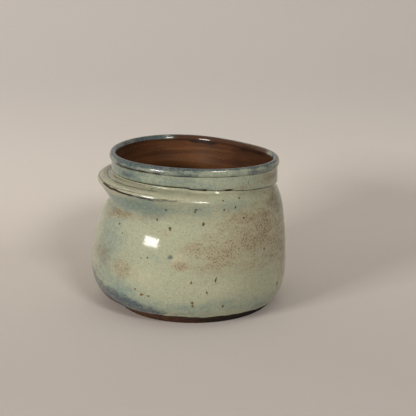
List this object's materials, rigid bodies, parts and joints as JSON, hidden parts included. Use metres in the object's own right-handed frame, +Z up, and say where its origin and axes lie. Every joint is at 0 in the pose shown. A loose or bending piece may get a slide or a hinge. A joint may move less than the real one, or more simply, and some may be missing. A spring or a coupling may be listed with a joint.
{
  "type": "thrown jar planter",
  "caption": "Round wheel-thrown planter jar with a swollen belly, a fold pushed out round one side, a collar with a rolled rim, and a drain hole.",
  "frame": {"origin": "centre of the round foot, on the surface that the jar stands on, on the axis of the drain hole", "axes": "+Z up through the mouth; +X to the right and -Y to the front as the jar is looked at with the fold on the left"},
  "size_m": [0.1758, 0.1758, 0.1371],
  "materials": {
    "bare_clay": "matte",
    "joint_slip": "matte",
    "outer_glaze": "gloss",
    "rim_glaze": "gloss",
    "inner_glaze": "satin"
  },
  "bodies": {
    "root": {"thrown_body": "bare_clay", "neck_collar": "bare_clay", "luting_slip": "joint_slip", "body_glaze": "outer_glaze", "collar_glaze": "rim_glaze", "liner_glaze": "inner_glaze"}
  },
  "joints": []
}
